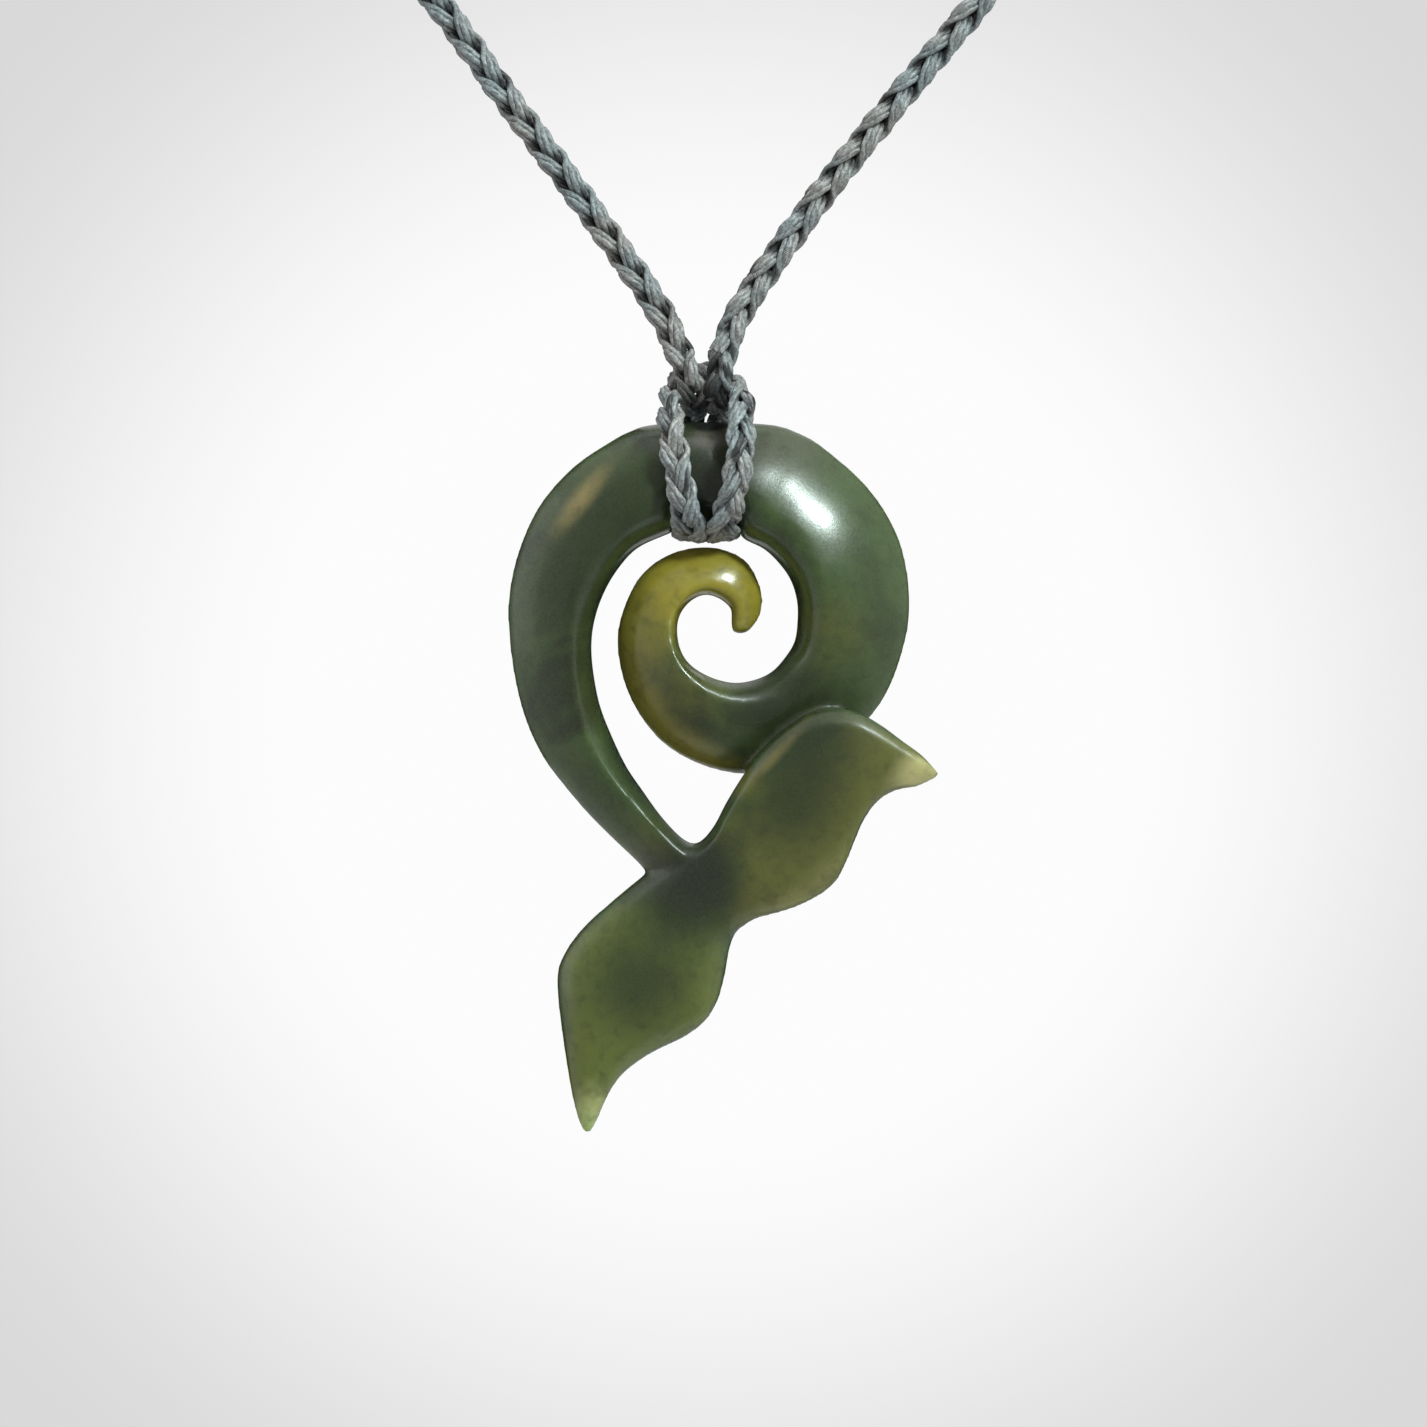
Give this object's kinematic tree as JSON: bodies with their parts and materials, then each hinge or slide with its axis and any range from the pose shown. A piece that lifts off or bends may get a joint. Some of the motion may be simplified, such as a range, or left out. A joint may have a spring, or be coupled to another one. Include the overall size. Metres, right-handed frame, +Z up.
{
  "type": "whale tail pendant",
  "caption": "Carved green jade pendant of a koru spiral running into a whale's tail, hung by a lark's head hitch on a plaited grey neck cord.",
  "frame": {"origin": "underside of the joining knot at the top of the cord's loop, where the cord rests behind the neck", "axes": "+Z up, +X to the right as the front is seen, -Y towards the viewer, so the carved front faces -Y"},
  "size_m": [0.1324, 0.0113, 0.2133],
  "materials": {
    "jade": "polished nephrite, deep green with olive and dark patches, lighter where it is thin",
    "cord": "plaited waxed thread, grey, slightly glossy"
  },
  "bodies": {
    "cord": {"neck_cord": "cord", "cord_hitch": "cord", "joining_knot": "cord"},
    "pendant": {"jade_stone": "jade"}
  },
  "joints": [
    {"name": "pendant_swing", "type": "hinge", "parent": "cord", "child": "pendant", "pos_m": [0, 0, -0.1562], "axis": [1, 0, 0], "range_deg": [-25, 25]}
  ]
}
